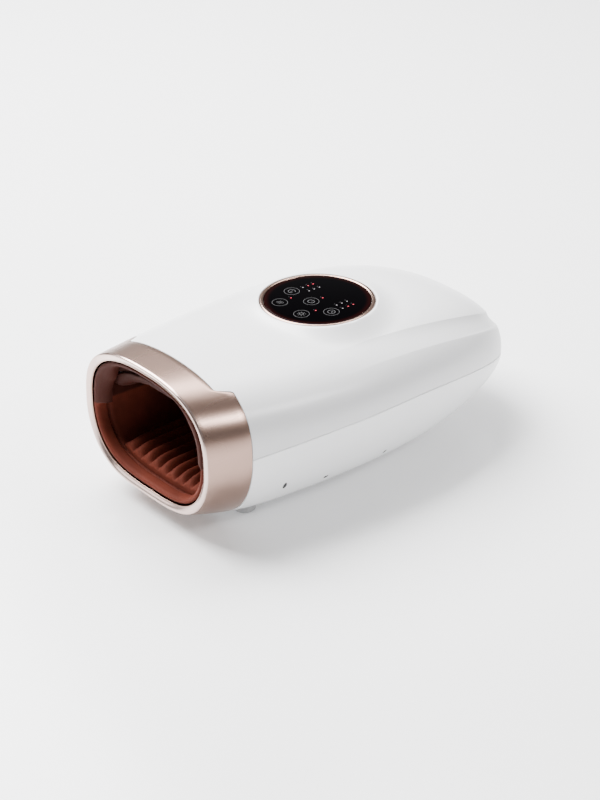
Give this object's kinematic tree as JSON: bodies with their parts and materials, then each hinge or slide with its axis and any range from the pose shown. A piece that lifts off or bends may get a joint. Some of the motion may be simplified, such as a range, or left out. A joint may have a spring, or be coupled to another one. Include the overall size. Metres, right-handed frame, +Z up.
{
  "type": "air compression hand massager",
  "caption": "Table-top hand massager: a rounded white case with a rose-gold mouth, a lined hand chamber with air-pressed cushions over a ribbed heated floor, and a round touch panel.",
  "frame": {"origin": "centre of the object's footprint, on the surface that its four rubber feet stand on", "axes": "+Y from the mouth to the tail, +Z up, +X to the right as seen by someone who looks in at the mouth"},
  "size_m": [0.16, 0.28, 0.1035],
  "materials": {
    "white_shell": "satin moulded ABS, near white",
    "rose_gold": "satin rose-gold metallic lacquer on moulded plastic",
    "lining_cloth": "smooth reddish-brown leatherette cloth",
    "black_glass": "black printed touch panel under a clear gloss cover",
    "inner_frame": "plain moulded ABS",
    "heating_film": "amber polyimide film",
    "bladder_film": "welded TPU film",
    "light_guide": "milky moulded plastic",
    "circuit_board": "green solder mask",
    "motor_steel": "plated steel can",
    "spring_steel": "bright drawn steel",
    "screw_steel": "zinc-plated steel",
    "black_rubber": "soft black rubber",
    "pale_rubber": "pale grey rubber of the feet",
    "black_plastic": "black moulded plastic",
    "cell_wrap": "blue shrink sleeve over steel cells",
    "hose_silicone": "translucent silicone tube",
    "ribbon_film": "white flat cable"
  },
  "bodies": {
    "shell": {"upper_case": "white_shell", "lower_case": "white_shell", "mouth_trim": "rose_gold", "chamber_lining": "lining_cloth", "upper_frame": "inner_frame", "lower_frame": "inner_frame", "heating_film": "heating_film", "floor_pad": "lining_cloth", "hand_bladder": "bladder_film", "finger_bladder": "bladder_film", "panel_ring": "rose_gold", "panel_glass": "black_glass", "light_guide": "light_guide", "touch_board": "circuit_board", "foot_1": "pale_rubber", "foot_2": "pale_rubber", "foot_3": "pale_rubber", "foot_4": "pale_rubber", "case_screw_1": "screw_steel", "case_screw_2": "screw_steel", "case_screw_3": "screw_steel", "case_screw_4": "screw_steel", "case_screw_5": "screw_steel", "case_screw_6": "screw_steel", "pump_motor": "motor_steel", "pump_housing": "inner_frame", "pump_diaphragm": "black_rubber", "pump_valve_plate": "inner_frame", "pump_head": "inner_frame", "pump_saddle": "black_rubber", "battery_tray": "inner_frame", "battery_cell_1": "cell_wrap", "battery_cell_2": "cell_wrap", "main_board": "circuit_board", "air_manifold": "inner_frame", "valve_body_1": "motor_steel", "valve_body_2": "motor_steel", "valve_spring_1": "spring_steel", "valve_spring_2": "spring_steel", "hand_hose": "hose_silicone", "finger_hose": "hose_silicone", "pump_hose": "hose_silicone", "ribbon_cable": "ribbon_film", "charging_socket": "black_plastic"},
    "hand_press": {"hand_cushion": "lining_cloth"},
    "finger_press": {"finger_cushion": "lining_cloth"},
    "pump_rotor": {"motor_shaft": "motor_steel", "pump_crank": "black_plastic"},
    "wobble": {"wobble_plate": "light_guide"},
    "valve_1": {"valve_plunger_1": "spring_steel"},
    "valve_2": {"valve_plunger_2": "spring_steel"}
  },
  "joints": [
    {"name": "hand_cushion_press", "type": "slide", "parent": "shell", "child": "hand_press", "axis": [0, 0, -1], "range_m": [0, 0.012], "stiffness_N_per_m": 400, "springref_m": -0.006, "deforming": ["hand_bladder"]},
    {"name": "finger_cushion_press", "type": "slide", "parent": "shell", "child": "finger_press", "axis": [0, 0, -1], "range_m": [0, 0.012], "stiffness_N_per_m": 400, "springref_m": -0.006, "deforming": ["finger_bladder"]},
    {"name": "pump_spin", "type": "hinge", "parent": "shell", "child": "pump_rotor", "pos_m": [-0.036, 0.078, 0.043], "axis": [0, 1, 0], "continuous": true},
    {"name": "wobble_spin", "type": "hinge", "parent": "pump_rotor", "child": "wobble", "pos_m": [-0.036, 0.088, 0.043], "axis": [0, 0.9902, 0.1395], "continuous": true},
    {"name": "valve_1_stroke", "type": "slide", "parent": "shell", "child": "valve_1", "axis": [0, -1, 0], "range_m": [0, 0.0015], "stiffness_N_per_m": 200, "springref_m": -0.001, "deforming": ["valve_spring_1"]},
    {"name": "valve_2_stroke", "type": "slide", "parent": "shell", "child": "valve_2", "axis": [0, -1, 0], "range_m": [0, 0.0015], "stiffness_N_per_m": 200, "springref_m": -0.001, "deforming": ["valve_spring_2"]}
  ],
  "couplings": [
    {"joint": "wobble_spin", "follows": "pump_spin", "ratio": -1}
  ]
}
